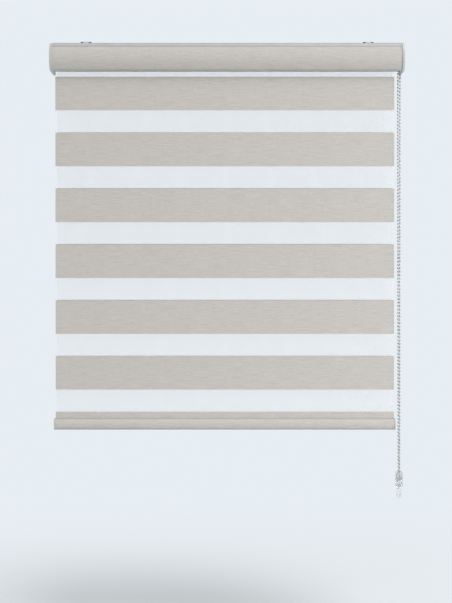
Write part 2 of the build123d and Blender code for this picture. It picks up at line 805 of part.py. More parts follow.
# End caps of the bottom rail: a plate, and a skirt that pushes into the rail's trough.
def rail_cap(inner_x, outward):
    skirt_bottom = cavity_floor + rail_cap_fit
    with BuildPart() as cap:
        with BuildSketch(across(inner_x)):
            rail_outline(-rail_cap_margin, rail_bottom - rail_cap_margin, rail_top + rail_cap_margin)
        extrude(amount=outward * rail_cap_thickness)
        outer_face = cap.faces().filter_by(Axis.X).sort_by(Axis.X)[-1 if outward > 0 else 0]
        chamfer(outer_face.edges(), length=cap_edge)
        with BuildSketch(across(inner_x)):
            rail_outline(cavity_inset + rail_cap_fit, skirt_bottom, rail_middle)
        extrude(amount=-outward * rail_cap_skirt)
        with BuildSketch(across(inner_x)):
            rail_outline(
                cavity_inset + rail_cap_fit + bottom_rail_wall, skirt_bottom + loop_pin_radius / 2, rail_middle
            )
        extrude(amount=-outward * rail_cap_skirt, mode=Mode.SUBTRACT)
        with BuildSketch(across(inner_x, bottom_rail_y, loop_z)):
            flats(loop_pin_radius + running_clearance, small_sides)
        extrude(amount=outward * (loop_pin_reach + loop_clearance), mode=Mode.SUBTRACT)
    return cap.part


save(rail_cap(rail_left, -1), "bottom_cap_left")
save(rail_cap(rail_right, 1), "bottom_cap_right")

# Tensioner housing: clear plastic, open at the top for the two strands.
housing_half_depth = pulley_radius + bead_radius + tensioner_side_clearance + tensioner_wall
housing_top = pulley_z + tensioner_mouth
housing_bottom = pulley_z - tensioner_foot
pulley_room = pulley_radius + bead_radius + tensioner_side_clearance
room_width = wheel_width + 2 * chain_side_clearance
tab_room_bottom = housing_bottom + tab_floor
with BuildPart() as tensioner_housing:
    with BuildSketch(across(chain_x, roller_y)):
        rectangle_between(-housing_half_depth, housing_half_depth, housing_bottom, housing_top)
    extrude(amount=tensioner_width / 2, both=True)
    chamfer(tensioner_housing.edges().filter_by(Axis.X).group_by(Axis.Z)[0], length=2 * tab_corner)
    chamfer(tensioner_housing.edges().filter_by(Axis.Z), length=tab_corner / 2)
    with BuildSketch(across(chain_x, roller_y)):
        with Locations((0, pulley_z)):
            flats(pulley_room, large_sides)
        rectangle_between(-pulley_room, pulley_room, pulley_z, housing_top)
    extrude(amount=room_width / 2, both=True, mode=Mode.SUBTRACT)
    with BuildSketch(Plane.XY.offset(tab_room_bottom)):
        with Locations((chain_x, roller_y)):
            Rectangle(tab_room_width, tab_room_depth)
    extrude(amount=tab_room_height, mode=Mode.SUBTRACT)
    with BuildSketch(Plane.XY.offset(housing_bottom)):
        with Locations((chain_x, roller_y)):
            flats(tab_stem_radius + running_clearance, small_sides)
    extrude(amount=tab_floor, mode=Mode.SUBTRACT)
    with BuildSketch(across(chain_x, roller_y, pulley_z)):
        flats(axle_radius, small_sides)
    extrude(amount=tensioner_width / 2, both=True, mode=Mode.SUBTRACT)

save(tensioner_housing.part, "tensioner_housing")

with BuildPart() as tensioner_axle:
    with BuildSketch(across(chain_x, roller_y, pulley_z)):
        RegularPolygon(axle_radius, small_sides)
    extrude(amount=tensioner_width / 2, both=True)

save(tensioner_axle.part, "tensioner_axle")

with BuildPart() as tensioner_pulley:
    chain_wheel((roller_y, pulley_z), pulley_teeth, pulley_radius, pulley_rim)
    with BuildSketch(across(wheel_left, roller_y, pulley_z)):
        flats(axle_radius + running_clearance, small_sides)
    extrude(amount=wheel_width, mode=Mode.SUBTRACT)

save(tensioner_pulley.part, "tensioner_pulley")

# Fixing tab: its head rides in the foot of the housing and its eyelet takes a wall screw.
tab_head_top = tab_room_bottom + tab_room_height - tab_slide_clearance
tab_top = housing_bottom - tab_gap
with BuildPart() as tensioner_tab:
    with BuildSketch(Plane.XY.offset(tab_head_top)):
        with Locations((chain_x, roller_y)):
            Rectangle(tab_room_width - 2 * tab_slide_clearance, tab_room_depth - 2 * tab_slide_clearance)
    extrude(amount=-tab_head)
    with BuildSketch(Plane.XY.offset(tab_head_top)):
        with Locations((chain_x, roller_y)):
            RegularPolygon(tab_stem_radius, small_sides)
    extrude(amount=tab_top - tab_head_top)
    with BuildSketch(Plane.XZ.offset(-roller_y)) as tab_outline:
        with Locations((chain_x, tab_top - tab_height / 2)):
            Rectangle(tab_width, tab_height)
        chamfer(tab_outline.vertices(), length=tab_corner)
        with Locations((chain_x, tab_top - tab_height + eyelet_height)):
            Circle(eyelet_radius, mode=Mode.SUBTRACT)
    extrude(amount=tab_thickness / 2, both=True)

save(tensioner_tab.part, "tensioner_tab")

# Tensioner spring: a short coil of square wire between the tab's head and the housing's floor.
coil_radius = tab_stem_radius + 2 * spring_clearance + spring_wire / 2 + spring_clearance
coil_bottom = tab_room_bottom + spring_clearance + spring_wire / 2
coil_top = tab_head_top - tab_head - spring_clearance - spring_wire / 2
coil_points = []
for step in range(spring_turns * spring_steps + 1):
    turned = 2 * math.pi * step / spring_steps
    rise = (coil_top - coil_bottom) * step / (spring_turns * spring_steps)
    coil_points.append(
        (
            chain_x + coil_radius * math.cos(turned),
            roller_y + coil_radius * math.sin(turned),
            coil_bottom + rise,
        )
    )
with BuildPart() as tensioner_spring:
    with BuildLine():
        coil = Polyline(*coil_points)
    with BuildSketch(Plane(origin=coil @ 0, x_dir=(0, 0, 1), z_dir=coil % 0)):
        Rectangle(spring_wire, spring_wire)
    sweep(transition=Transition.RIGHT)

save(tensioner_spring.part, "tensioner_spring")
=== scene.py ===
import bpy
import bmesh
import math
from mathutils import Matrix, Vector


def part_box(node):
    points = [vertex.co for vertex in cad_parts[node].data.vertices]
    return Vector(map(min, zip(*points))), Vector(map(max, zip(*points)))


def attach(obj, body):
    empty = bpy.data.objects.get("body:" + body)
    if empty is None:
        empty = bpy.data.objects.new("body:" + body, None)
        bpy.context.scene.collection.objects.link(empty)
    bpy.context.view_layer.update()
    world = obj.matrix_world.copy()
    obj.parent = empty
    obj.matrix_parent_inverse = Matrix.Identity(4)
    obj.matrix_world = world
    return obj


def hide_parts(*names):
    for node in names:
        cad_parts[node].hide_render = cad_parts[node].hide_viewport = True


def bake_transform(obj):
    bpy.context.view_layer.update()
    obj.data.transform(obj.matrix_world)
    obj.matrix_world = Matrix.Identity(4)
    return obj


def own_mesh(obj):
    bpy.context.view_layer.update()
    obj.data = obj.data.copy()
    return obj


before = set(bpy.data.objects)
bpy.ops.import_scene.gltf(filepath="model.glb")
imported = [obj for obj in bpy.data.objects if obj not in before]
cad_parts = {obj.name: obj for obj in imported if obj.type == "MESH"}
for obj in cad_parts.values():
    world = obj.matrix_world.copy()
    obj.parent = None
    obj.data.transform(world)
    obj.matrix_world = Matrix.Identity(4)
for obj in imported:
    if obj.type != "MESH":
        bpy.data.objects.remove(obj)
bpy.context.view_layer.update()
print("frame loaded")

# The front of the blind faces -Y. Lengths are in metres and angles in degrees.
scene = bpy.context.scene
scene.view_settings.view_transform = "Standard"

camera = {
    "place": (-0.00244, -2.467, -0.5796),  # straight on, at the middle of the picture
    "focalPixels": 1097.7,
    "pictureHeight": 603,
    "sensor": 36.0,
}
cameraData = bpy.data.cameras.new("camera")
cameraData.sensor_width = camera["sensor"]
cameraData.lens = camera["focalPixels"] * camera["sensor"] / camera["pictureHeight"]
cameraObject = bpy.data.objects.new("camera", cameraData)
cameraObject.location = camera["place"]
cameraObject.rotation_euler = (math.radians(90), 0, 0)
scene.collection.objects.link(cameraObject)
scene.camera = cameraObject
print("camera placed")


# Nodes that the materials share
def addNode(tree, kind, inputs=None, **settings):
    node = tree.nodes.new(kind)
    for key, value in settings.items():
        setattr(node, key, value)
    for key, value in (inputs or {}).items():
        if isinstance(value, bpy.types.NodeSocket):
            tree.links.new(value, node.inputs[key])
        else:
            node.inputs[key].default_value = value
    return node


def newMaterial(name, surface):
    material = bpy.data.materials.new(name)
    material.use_nodes = True
    tree = material.node_tree
    shader = tree.nodes["Principled BSDF"]
    for key, value in surface.items():
        shader.inputs[key].default_value = value
    return material, tree, shader


def mathNode(tree, operation, first, second=0.0):
    node = addNode(tree, "ShaderNodeMath", {0: first, 1: second}, operation=operation)
    return node.outputs[0]


def objectCoordinates(tree):
    return addNode(tree, "ShaderNodeTexCoord").outputs["Object"]


def scaledNoise(tree, vector, scale, detail=2.0, roughness=0.5):
    mapping = addNode(tree, "ShaderNodeMapping", {"Vector": vector, "Scale": scale})
    place = mapping.outputs["Vector"]
    inputs = {"Vector": place, "Scale": 1.0, "Detail": detail, "Roughness": roughness}
    return addNode(tree, "ShaderNodeTexNoise", inputs).outputs["Fac"]


def addColour(tree, shader, tone, dark, light, toneSpan=(0.3, 0.7)):
    ramp = addNode(tree, "ShaderNodeValToRGB", {"Fac": tone})
    for end, place, colour in zip(ramp.color_ramp.elements, toneSpan, (dark, light)):
        end.position = place
        end.color = (*colour, 1)
    tree.links.new(ramp.outputs["Color"], shader.inputs["Base Color"])


def addBump(tree, shader, height, strength, depth):
    inputs = {"Height": height, "Strength": strength, "Distance": depth}
    bump = addNode(tree, "ShaderNodeBump", inputs)
    tree.links.new(bump.outputs["Normal"], shader.inputs["Normal"])


def varyRoughness(tree, shader, tone, spread, roughness):
    shift = mathNode(tree, "MULTIPLY", mathNode(tree, "SUBTRACT", tone, 0.5), spread)
    tree.links.new(mathNode(tree, "ADD", shift, roughness), shader.inputs["Roughness"])


clothUv = "clothUv"  # metres across the cloth and along it


def clothCoordinates(tree):
    uv = addNode(tree, "ShaderNodeUVMap", uv_map=clothUv).outputs["UV"]
    return uv, addNode(tree, "ShaderNodeSeparateXYZ", {0: uv}).outputs


# Opaque bands: a slub weave, whose uneven yarns run across the blind
wovenCloth = {
    "dark": (0.458, 0.432, 0.402),
    "light": (0.592, 0.558, 0.520),
    "toneSpan": (0.36, 0.64),
    "slub": (26.0, 760.0, 1.0),  # as many to a metre across and along
    "fleck": (120.0, 1500.0, 1.0),
    "slubShare": 0.6,
    "fleckShare": 0.4,
    "yarnPitch": 0.00062,
    "slubHeight": 3.0,  # next to the height of a yarn
    "reliefStrength": 0.5,
    "reliefDepth": 0.00006,
    "surface": {
        "Roughness": 0.88,
        "Sheen Weight": 0.15,
        "Sheen Roughness": 0.5,
        "Specular IOR Level": 0.25,
    },
}


def makeWovenCloth():
    material, tree, shader = newMaterial("wovenCloth", wovenCloth["surface"])
    uv, alongAxis = clothCoordinates(tree)
    slubs = scaledNoise(tree, uv, wovenCloth["slub"], detail=3.0, roughness=0.6)
    flecks = scaledNoise(tree, uv, wovenCloth["fleck"], detail=1.0)
    slubs = mathNode(tree, "MULTIPLY", slubs, wovenCloth["slubShare"])
    flecks = mathNode(tree, "MULTIPLY", flecks, wovenCloth["fleckShare"])
    tone = mathNode(tree, "ADD", slubs, flecks)
    addColour(
        tree, shader, tone, wovenCloth["dark"], wovenCloth["light"], wovenCloth["toneSpan"]
    )
    turn = 2 * math.pi / wovenCloth["yarnPitch"]
    warp = mathNode(tree, "SINE", mathNode(tree, "MULTIPLY", alongAxis["X"], turn))
    weft = mathNode(tree, "SINE", mathNode(tree, "MULTIPLY", alongAxis["Y"], turn))
    slubRelief = mathNode(tree, "MULTIPLY", tone, wovenCloth["slubHeight"])
    relief = mathNode(tree, "ADD", mathNode(tree, "MULTIPLY", warp, weft), slubRelief)
    addBump(tree, shader, relief, wovenCloth["reliefStrength"], wovenCloth["reliefDepth"])
    return material


# Sheer bands: an open mesh of fine threads, never quite clear between them
sheerCloth = {
    "dark": (0.7896, 0.799, 0.799),
    "light": (0.84, 0.85, 0.85),
    "tone": (30.0, 900.0, 1.0),
    "threadPitch": 0.0010,
    "threadShare": 0.16,
    "threadAlpha": 0.24,
    "openAlpha": 0.03,
    "surface": {"Roughness": 0.7},
}


def makeSheerCloth():
    material, tree, shader = newMaterial("sheerCloth", sheerCloth["surface"])
    uv, alongAxis = clothCoordinates(tree)
    tone = scaledNoise(tree, uv, sheerCloth["tone"])
    addColour(tree, shader, tone, sheerCloth["dark"], sheerCloth["light"])
    threads = []
    for axis in ("X", "Y"):
        place = mathNode(tree, "DIVIDE", alongAxis[axis], sheerCloth["threadPitch"])
        place = mathNode(tree, "FRACT", place)
        threads.append(mathNode(tree, "LESS_THAN", place, sheerCloth["threadShare"]))
    onThread = mathNode(tree, "MAXIMUM", *threads)
    strength = sheerCloth["threadAlpha"] - sheerCloth["openAlpha"]
    alpha = mathNode(tree, "MULTIPLY", onThread, strength)
    alpha = mathNode(tree, "ADD", alpha, sheerCloth["openAlpha"])
    tree.links.new(alpha, shader.inputs["Alpha"])
    return material


# Bare metals. The grain is as many to a metre each way, so a low number draws it out.
metals = {
    "millAluminium": {
        "dark": (0.58, 0.58, 0.58), "light": (0.72, 0.72, 0.72),
        "roughness": 0.34, "grain": (9.0, 500.0, 500.0), "reliefDepth": 0.00003,
    },
    "zincSteel": {
        "dark": (0.52, 0.53, 0.54), "light": (0.66, 0.67, 0.68),
        "roughness": 0.38, "grain": (160.0, 160.0, 160.0), "reliefDepth": 0.00004,
    },
    "springSteel": {
        "dark": (0.40, 0.41, 0.42), "light": (0.52, 0.53, 0.54),
        "roughness": 0.30, "grain": (20.0, 400.0, 400.0), "reliefDepth": 0.00002,
    },
    "nickelBeads": {
        "dark": (0.36, 0.36, 0.36), "light": (0.52, 0.52, 0.51),
        "roughness": 0.18, "grain": (300.0, 300.0, 300.0), "reliefDepth": 0.00002,
    },
}
metalDetail = {
    "grainDetail": 4.0,
    "grainRoughness": 0.6,
    "polish": 0.5,  # next to the grain's number, so the patches are twice as large
    "polishSpread": 0.14,
    "reliefStrength": 0.35,
}


def makeMetal(name, metal):
    surface = {"Metallic": 1.0, "Roughness": metal["roughness"]}
    material, tree, shader = newMaterial(name, surface)
    place = objectCoordinates(tree)
    grain = scaledNoise(
        tree, place, metal["grain"], metalDetail["grainDetail"], metalDetail["grainRoughness"]
    )
    addColour(tree, shader, grain, metal["dark"], metal["light"])
    polish = scaledNoise(tree, place, [metalDetail["polish"] * value for value in metal["grain"]])
    varyRoughness(tree, shader, polish, metalDetail["polishSpread"], metal["roughness"])
    addBump(tree, shader, grain, metalDetail["reliefStrength"], metal["reliefDepth"])
    return material


# Coated and moulded finishes, and the braid of the chain's cord
plastics = {
    "coatedAluminium": {
        "dark": (0.40, 0.40, 0.395), "light": (0.45, 0.45, 0.445),
        "roughness": 0.48, "grain": 1400.0, "reliefDepth": 0.00002, "subsurface": 0.0,
    },
    "capPlastic": {
        "dark": (0.47, 0.47, 0.465), "light": (0.53, 0.53, 0.525),
        "roughness": 0.42, "grain": 900.0, "reliefDepth": 0.00004, "subsurface": 0.04,
    },
    "whitePlastic": {
        "dark": (0.72, 0.72, 0.71), "light": (0.78, 0.78, 0.77),
        "roughness": 0.36, "grain": 900.0, "reliefDepth": 0.00004, "subsurface": 0.04,
    },
    "cordBraid": {
        "dark": (0.40, 0.40, 0.39), "light": (0.54, 0.54, 0.53),
        "roughness": 0.85, "grain": 2400.0, "reliefDepth": 0.00012, "subsurface": 0.0,
    },
}
plasticDetail = {
    "tone": 35.0,
    "wearSpread": 0.12,
    "grainDetail": 3.0,
    "reliefStrength": 0.25,
    "subsurfaceRadius": (1.0, 0.97, 0.94),  # nearly even, so that no edge shows red
    "subsurfaceScale": 0.002,
}


def makePlastic(name, plastic):
    surface = {
        "Roughness": plastic["roughness"],
        "Subsurface Weight": plastic["subsurface"],
        "Subsurface Radius": plasticDetail["subsurfaceRadius"],
        "Subsurface Scale": plasticDetail["subsurfaceScale"],
    }
    material, tree, shader = newMaterial(name, surface)
    place = objectCoordinates(tree)
    tone = scaledNoise(tree, place, [plasticDetail["tone"]] * 3)
    addColour(tree, shader, tone, plastic["dark"], plastic["light"])
    varyRoughness(tree, shader, tone, plasticDetail["wearSpread"], plastic["roughness"])
    grain = scaledNoise(tree, place, [plastic["grain"]] * 3, plasticDetail["grainDetail"])
    addBump(tree, shader, grain, plasticDetail["reliefStrength"], plastic["reliefDepth"])
    return material


# The chain tensioner and the chain's connector are see-through.
clearPlastic = {
    "dark": (0.86, 0.88, 0.88),
    "light": (0.93, 0.95, 0.95),
    "tone": (60.0, 60.0, 60.0),
    "ripple": (420.0, 420.0, 420.0),
    "reliefStrength": 0.2,
    "reliefDepth": 0.00005,
    "surface": {"Roughness": 0.09, "IOR": 1.49, "Transmission Weight": 0.82},
}


def makeClearPlastic():
    material, tree, shader = newMaterial("clearPlastic", clearPlastic["surface"])
    place = objectCoordinates(tree)
    tone = scaledNoise(tree, place, clearPlastic["tone"])
    addColour(tree, shader, tone, clearPlastic["dark"], clearPlastic["light"])
    ripple = scaledNoise(tree, place, clearPlastic["ripple"])
    addBump(tree, shader, ripple, clearPlastic["reliefStrength"], clearPlastic["reliefDepth"])
    return material


finishes = {
    "wovenCloth": makeWovenCloth(),
    "sheerCloth": makeSheerCloth(),
    "clearPlastic": makeClearPlastic(),
}
for finishName, metal in metals.items():
    finishes[finishName] = makeMetal(finishName, metal)
for finishName, plastic in plastics.items():
    finishes[finishName] = makePlastic(finishName, plastic)
print("materials made:", len(finishes))


# Ways of finishing that the pieces share
def finishMesh(shape, name, materials):
    mesh = bpy.data.meshes.new(name)
    shape.to_mesh(mesh)
    shape.free()
    for material in materials:
        mesh.materials.append(material)
    piece = bpy.data.objects.new(name, mesh)
    scene.collection.objects.link(piece)
    return piece


def placePiece(piece, node, body):
    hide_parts(node)
    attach(piece, body)


def softenEdges(shape, sharpAngle):
    limit = math.radians(sharpAngle)
    for face in shape.faces:
        face.smooth = True
    for edge in shape.edges:
        edge.smooth = len(edge.link_faces) == 2 and edge.calc_face_angle(0) < limit


def addRounding(piece, width, sharpAngle):
    bevel = piece.modifiers.new("rounding", "BEVEL")
    bevel.width = width
    bevel.segments = 2
    bevel.limit_method = "ANGLE"
    bevel.angle_limit = math.radians(sharpAngle)
    bevel.use_clamp_overlap = True
    weighted = piece.modifiers.new("weightedNormals", "WEIGHTED_NORMAL")
    weighted.keep_sharp = True


def addThickness(piece, thickness, offset):
    wall = piece.modifiers.new("clothThickness", "SOLIDIFY")
    wall.thickness = thickness
    wall.offset = offset


# Sheets start as a row of edges, and each new row is pulled or turned on from the last one.
def startRow(shape, left, right, columns, y, z):
    verts = []
    for column in range(columns + 1):
        x = left + (right - left) * column / columns
        verts.append(shape.verts.new((x, y, z)))
    return [shape.edges.new(pair) for pair in zip(verts, verts[1:])]


def addRow(shape, lastRow):
    made = bmesh.ops.extrude_edge_only(shape, edges=lastRow)["geom"]
    verts = [item for item in made if isinstance(item, bmesh.types.BMVert)]
    edges = [item for item in made if isinstance(item, bmesh.types.BMEdge)]
    faces = [item for item in made if isinstance(item, bmesh.types.BMFace)]
    row = [edge for edge in edges if all(vert in verts for vert in edge.verts)]
    return row, verts, faces


def mapCloth(shape, lengthOf):
    uvLayer = shape.loops.layers.uv.new(clothUv)
    for face in shape.faces:
        face.smooth = True
        for loop in face.loops:
            loop[uvLayer].uv = (loop.vert.co.x, lengthOf[loop.vert])


# The hanging cloth
cloth = {
    "left": -0.3841,
    "right": 0.3739,
    "thickness": 0.00042,
    "firstBandTop": -0.077,
    "opaque": 0.075,
    "sheer": 0.050,
    "bands": 7,
    "columns": 12,
    "tallStretch": 0.02,  # a stretch that is taller is divided into this many rows
    "tallRows": 3,
    "frontTop": (-0.01295, -0.0593),
    "rearTop": (0.01675, -0.035),
    "loopCentre": (0.001, -0.8561),
    "loopRadius": 0.0069,
    "loopSteps": 16,
    "lift": 0.7493,  # above the loop; cloth still higher stays where it hangs
    # The rear bands stand this much higher at the top and at the bottom, behind the front ones.
    "rearRise": (0.0060, -0.0015),
}
clothRepeat = cloth["opaque"] + cloth["sheer"]
bandedCloth = (finishes["wovenCloth"], finishes["sheerCloth"])
loopY, loopZ = cloth["loopCentre"]


def startCloth(shape, y, z):
    return startRow(shape, cloth["left"], cloth["right"], cloth["columns"], y, z)


def finishCloth(shape, name, lengthOf, materials):
    mapCloth(shape, lengthOf)
    for edge in shape.edges:
        edge.smooth = not edge.is_boundary  # the cut edges stay crisp once the cloth is thick
    bmesh.ops.recalc_face_normals(shape, faces=shape.faces)
    piece = finishMesh(shape, name, materials)
    addThickness(piece, cloth["thickness"], 0.0)
    return piece


def bandEdges(rearShare):
    firstRise, lastRise = cloth["rearRise"]
    firstTop = cloth["firstBandTop"]
    edges = []
    for band in range(cloth["bands"]):
        top = firstTop - band * clothRepeat
        for height in (top, top - cloth["opaque"]):
            rise = firstRise + (lastRise - firstRise) * (height - firstTop) / (loopZ - firstTop)
            edges.append(height + rise * rearShare)
    return [edge for edge in edges if edge > loopZ]


def makeLayer(name, node, top, endY, rearShare):
    shape = bmesh.new()
    topY, topZ = top
    slope = (endY - topY) / (loopZ - topZ)
    row = startCloth(shape, topY, topZ)
    lengthOf = {vert: -topZ for vert in shape.verts}
    height = topZ
    sheerNow = True
    for stop in bandEdges(rearShare) + [loopZ]:
        steps = cloth["tallRows"] if height - stop > cloth["tallStretch"] else 1
        for step in range(steps):
            drop = (stop - height) / (steps - step)
            row, verts, faces = addRow(shape, row)
            bmesh.ops.translate(shape, verts=verts, vec=(0, slope * drop, drop))
            height += drop
            lengthOf.update({vert: -height for vert in verts})
            for face in faces:
                face.material_index = int(sheerNow)
        sheerNow = not sheerNow
    piece = finishCloth(shape, name, lengthOf, bandedCloth)
    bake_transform(piece)
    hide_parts(node)


def makeClothLoop():
    shape = bmesh.new()
    halfRound = math.pi * cloth["loopRadius"]
    turn = Matrix.Rotation(math.pi / cloth["loopSteps"], 3, "X")
    row = startCloth(shape, loopY - cloth["loopRadius"], loopZ)
    lengthOf = {vert: -loopZ for vert in shape.verts}
    for step in range(cloth["loopSteps"]):
        row, verts, faces = addRow(shape, row)
        bmesh.ops.rotate(shape, verts=verts, cent=(0, loopY, loopZ), matrix=turn)
        along = halfRound * (step + 1) / cloth["loopSteps"] - loopZ
        lengthOf.update({vert: along for vert in verts})
    piece = finishCloth(shape, "clothLoop", lengthOf, [finishes["wovenCloth"]])
    placePiece(piece, "cloth_bottom_loop", "bottom_bar")


makeLayer("frontCloth", "cloth_front_layer", cloth["frontTop"], loopY - cloth["loopRadius"], 0)
makeLayer("rearCloth", "cloth_rear_layer", cloth["rearTop"], loopY + cloth["loopRadius"], 1)
makeClothLoop()

# The turns on the roller, from the outside in
clothRoll = {
    "centre": (-0.002, -0.035),
    "outer": 0.01795,
    "inner": 0.01635,
    "turns": 4,
    "stepsPerTurn": 36,
    "sheerLeft": 0.008,  # sheer still to come before the first opaque band on the roll
}


def makeClothRoll():
    shape = bmesh.new()
    rollY, rollZ = clothRoll["centre"]
    toCentre = Matrix.Translation((0, -rollY, -rollZ))
    angle = 2 * math.pi / clothRoll["stepsPerTurn"]
    turn = Matrix.Rotation(angle, 3, "X")
    steps = clothRoll["turns"] * clothRoll["stepsPerTurn"]
    radius = clothRoll["outer"]
    wound = 0.0
    row = startCloth(shape, rollY + radius, rollZ)
    lengthOf = {vert: wound for vert in shape.verts}
    for step in range(steps):
        row, verts, faces = addRow(shape, row)
        bmesh.ops.rotate(shape, verts=verts, cent=(0, rollY, rollZ), matrix=turn)
        lost = (clothRoll["outer"] - clothRoll["inner"]) * (step + 1) / steps
        shrink = (clothRoll["outer"] - lost) / radius
        bmesh.ops.scale(shape, verts=verts, vec=(1, shrink, shrink), space=toCentre)
        wound += angle * radius
        radius = clothRoll["outer"] - lost
        lengthOf.update({vert: wound for vert in verts})
        bandPlace = (wound - clothRoll["sheerLeft"]) % clothRepeat
        sheerHere = wound < clothRoll["sheerLeft"] or bandPlace > cloth["opaque"]
        for face in faces:
            face.material_index = int(sheerHere)
    piece = finishCloth(shape, "clothRoll", lengthOf, bandedCloth)
    placePiece(piece, "cloth_roll", "roller")


makeClothRoll()
print("cloth hung")

# Strips wrapped in the same cloth: the fascia insert and the cover of the bottom rail. Each
# is bent round its centre, and its pattern starts at another place along the cloth.
wrappedStrips = {
    "fasciaInsert": {
        "node": "fascia_insert", "body": "headrail", "left": -0.390, "right": 0.390,
        "centre": (0.01378, -0.035), "radius": 0.04688, "thickness": 0.0012,
        "patternStart": 0.36255,
    },
    "railCover": {
        "node": "bottom_rail_cover", "body": "bottom_bar", "left": -0.3847, "right": 0.3745,
        "centre": (0.014715, -0.8543), "radius": 0.026615, "thickness": 0.0008,
        "patternStart": -0.4543,
    },
}
stripShape = {"columns": 8, "steps": 24, "rounding": 0.0003, "sharpAngle": 35.0}


def makeWrappedStrip(name, strip):
    shape = bmesh.new()
    low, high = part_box(strip["node"])
    centreY, centreZ = strip["centre"]
    radius = strip["radius"]
    steps = stripShape["steps"]
    topAngle = math.asin((high.z - centreZ) / radius)
    arc = topAngle - math.asin((low.z - centreZ) / radius)
    turn = Matrix.Rotation(arc / steps, 3, "X")
    topY = centreY - radius * math.cos(topAngle)
    topZ = centreZ + radius * math.sin(topAngle)
    row = startRow(shape, strip["left"], strip["right"], stripShape["columns"], topY, topZ)
    lengthOf = {vert: strip["patternStart"] for vert in shape.verts}
    for step in range(steps):
        row, verts, faces = addRow(shape, row)
        bmesh.ops.rotate(shape, verts=verts, cent=(0, centreY, centreZ), matrix=turn)
        along = strip["patternStart"] + radius * arc * (step + 1) / steps
        lengthOf.update({vert: along for vert in verts})
    mapCloth(shape, lengthOf)
    piece = finishMesh(shape, name, [finishes["wovenCloth"]])
    addThickness(piece, strip["thickness"], -1.0)
    addRounding(piece, stripShape["rounding"], stripShape["sharpAngle"])
    placePiece(piece, strip["node"], strip["body"])


for stripName, strip in wrappedStrips.items():
    makeWrappedStrip(stripName, strip)
print("cloth-covered strips made")

# Rigid pieces keep the shape of their node and get rounded edges. Each kind has its material
# slot, its finish, the width of the rounding and the angle at which an edge counts as sharp.
kinds = {
    "profile": ("cassette_aluminium", "coatedAluminium", 0.00015, 30.0),
    "endCap": ("cap_plastic", "capPlastic", 0.00035, 30.0),
    "screw": ("screw_steel", "zincSteel", 0.00025, 50.0),
    "bracket": ("bracket_steel", "zincSteel", 0.0002, 30.0),
    "clip": ("spring_steel", "springSteel", 0.00015, 30.0),
    "strip": ("white_plastic", "whitePlastic", 0.0002, 30.0),
    "tube": ("tube_aluminium", "millAluminium", 0.0, 30.0),
    "wheel": ("white_plastic", "whitePlastic", 0.0, 40.0),
    "sprocket": ("white_plastic", "whitePlastic", 0.0, 35.0),
    "rail": ("rail_aluminium", "coatedAluminium", 0.00015, 30.0),
    "railCap": ("cap_plastic", "capPlastic", 0.0003, 30.0),
    "housing": ("clear_plastic", "clearPlastic", 0.0007, 30.0),
    "tab": ("clear_plastic", "clearPlastic", 0.0008, 30.0),
    "coil": ("spring_steel", "springSteel", 0.0, 40.0),
}
merging = {"distance": 0.000003, "flatAngle": 0.6}  # of the node's loose triangles


def carryOver(node, name, body, kind):
    slotName, finish, rounding, sharpAngle = kinds[kind]
    shape = bmesh.new()
    shape.from_mesh(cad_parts[node].data)
    bmesh.ops.remove_doubles(shape, verts=shape.verts, dist=merging["distance"])
    flatAngle = math.radians(merging["flatAngle"])
    bmesh.ops.dissolve_limit(
        shape, angle_limit=flatAngle, verts=shape.verts, edges=shape.edges
    )
    softenEdges(shape, sharpAngle)
    piece = finishMesh(shape, name, [finishes[finish]])
    if rounding:
        addRounding(piece, rounding, sharpAngle)
    placePiece(piece, node, body)
    return piece


for node, name, body, kind in (
    ("cassette_profile", "cassetteProfile", "headrail", "profile"),
    ("end_cap_left", "endCapLeft", "headrail", "endCap"),
    ("end_cap_right", "endCapRight", "headrail", "endCap"),
    ("end_cap_screws", "endCapScrews", "headrail", "screw"),
    ("bracket_left", "bracketLeft", "headrail", "bracket"),
    ("bracket_right", "bracketRight", "headrail", "bracket"),
    ("bracket_clip_left", "bracketClipLeft", "headrail", "clip"),
    ("bracket_clip_right", "bracketClipRight", "headrail", "clip"),
    ("cloth_clamp_strip", "clampStrip", "headrail", "strip"),
    ("chain_guard", "chainGuard", "headrail", "strip"),
    ("roller_tube", "rollerTube", "roller", "tube"),
    ("idle_end_plug", "idleEndPlug", "roller", "wheel"),
    ("drive_sprocket", "driveSprocket", "roller", "sprocket"),
    ("bottom_rail", "bottomRail", "bottom_bar", "rail"),
    ("bottom_cap_left", "railCapLeft", "bottom_bar", "railCap"),
    ("bottom_cap_right", "railCapRight", "bottom_bar", "railCap"),
    ("loop_roller_tube", "loopRollerTube", "loop_roller", "tube"),
    ("tensioner_housing", "tensionerHousing", "headrail", "housing"),
    ("tensioner_tab", "tensionerTab", "fixing_tab", "tab"),
    ("tensioner_pulley", "tensionerPulley", "chain_pulley", "wheel"),
):
    carryOver(node, name, body, kind)

# Hidden nodes stay as they are and only get their finish.
for node, finish in (
    ("clutch_core", "whitePlastic"),
    ("brake_spring", "springSteel"),
    ("idle_pin", "zincSteel"),
    ("loop_roller_plugs", "whitePlastic"),
    ("tensioner_axle", "zincSteel"),
):
    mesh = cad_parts[node].data
    mesh.materials.clear()
    mesh.materials.append(finishes[finish])

# The small spring in the tensioner's foot gets a mesh of its own.
coil = carryOver("tensioner_spring", "tensionerSpring", "headrail", "coil")
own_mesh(coil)
print("rigid pieces dressed")

# The endless bead chain
chain = {
    "x": 0.386,
    "y": -0.002,
    "sprocketZ": -0.035,
    "sprocketRadius": 0.0148755,
    "sprocketTeeth": 12,
    "pulleyZ": -0.9743726,
    "pulleyRadius": 0.0077,
    "pulleyTeeth": 6,
    "strandSteps": 122,
    "beadRadius": 0.00225,
    "beadSides": 8,
    "beadRings": 6,
    "cordRadius": 0.00055,
    "cordSides": 6,
    "cordSharpAngle": 70.0,
}


